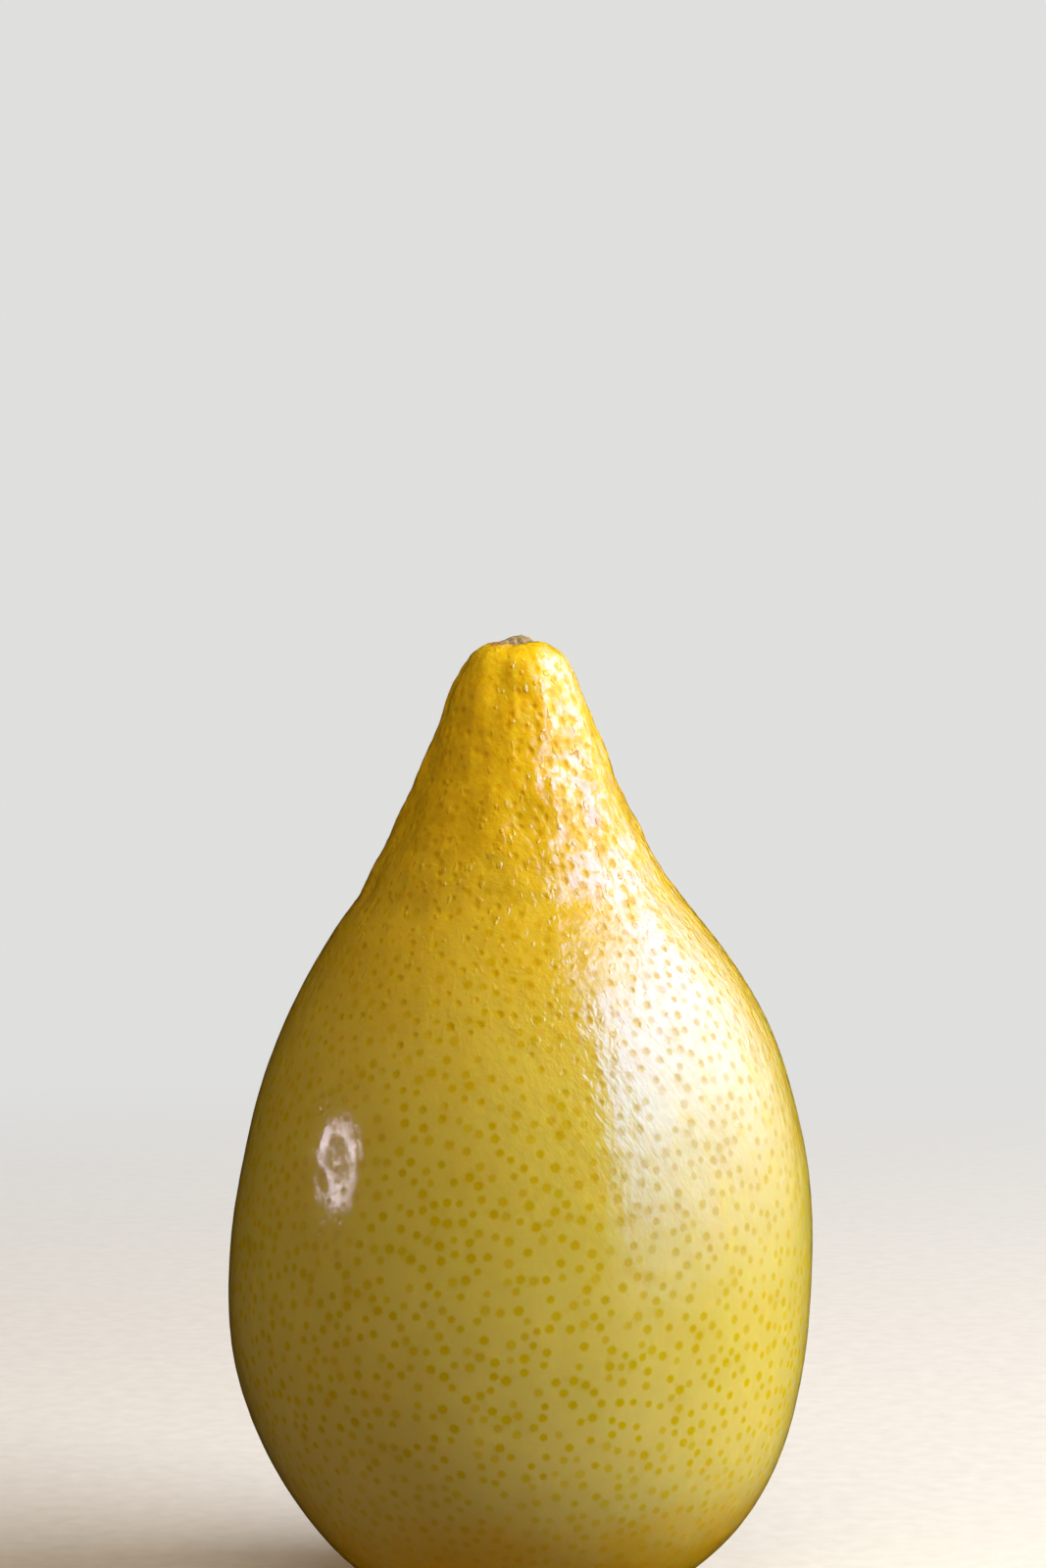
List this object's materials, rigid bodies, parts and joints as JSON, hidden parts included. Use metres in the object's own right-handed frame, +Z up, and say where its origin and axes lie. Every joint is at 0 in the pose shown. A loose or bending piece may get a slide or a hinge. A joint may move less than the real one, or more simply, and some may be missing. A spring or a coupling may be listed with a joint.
{
  "type": "whole lemon",
  "caption": "Whole lemon with a broad rounded body, a long tapering neck and a small dry scar at the tip, standing upright on a small flat spot.",
  "frame": {"origin": "centre of the small flat spot that the fruit stands on, on the floor", "axes": "+Z up along the fruit from its broad end to the tip, the side seen in the picture faces -Y"},
  "size_m": [0.0605, 0.0604, 0.1003],
  "materials": {
    "lemon_peel": "waxy satin peel, deep yellow"
  },
  "bodies": {
    "root": {"lemon": "lemon_peel"}
  },
  "joints": []
}
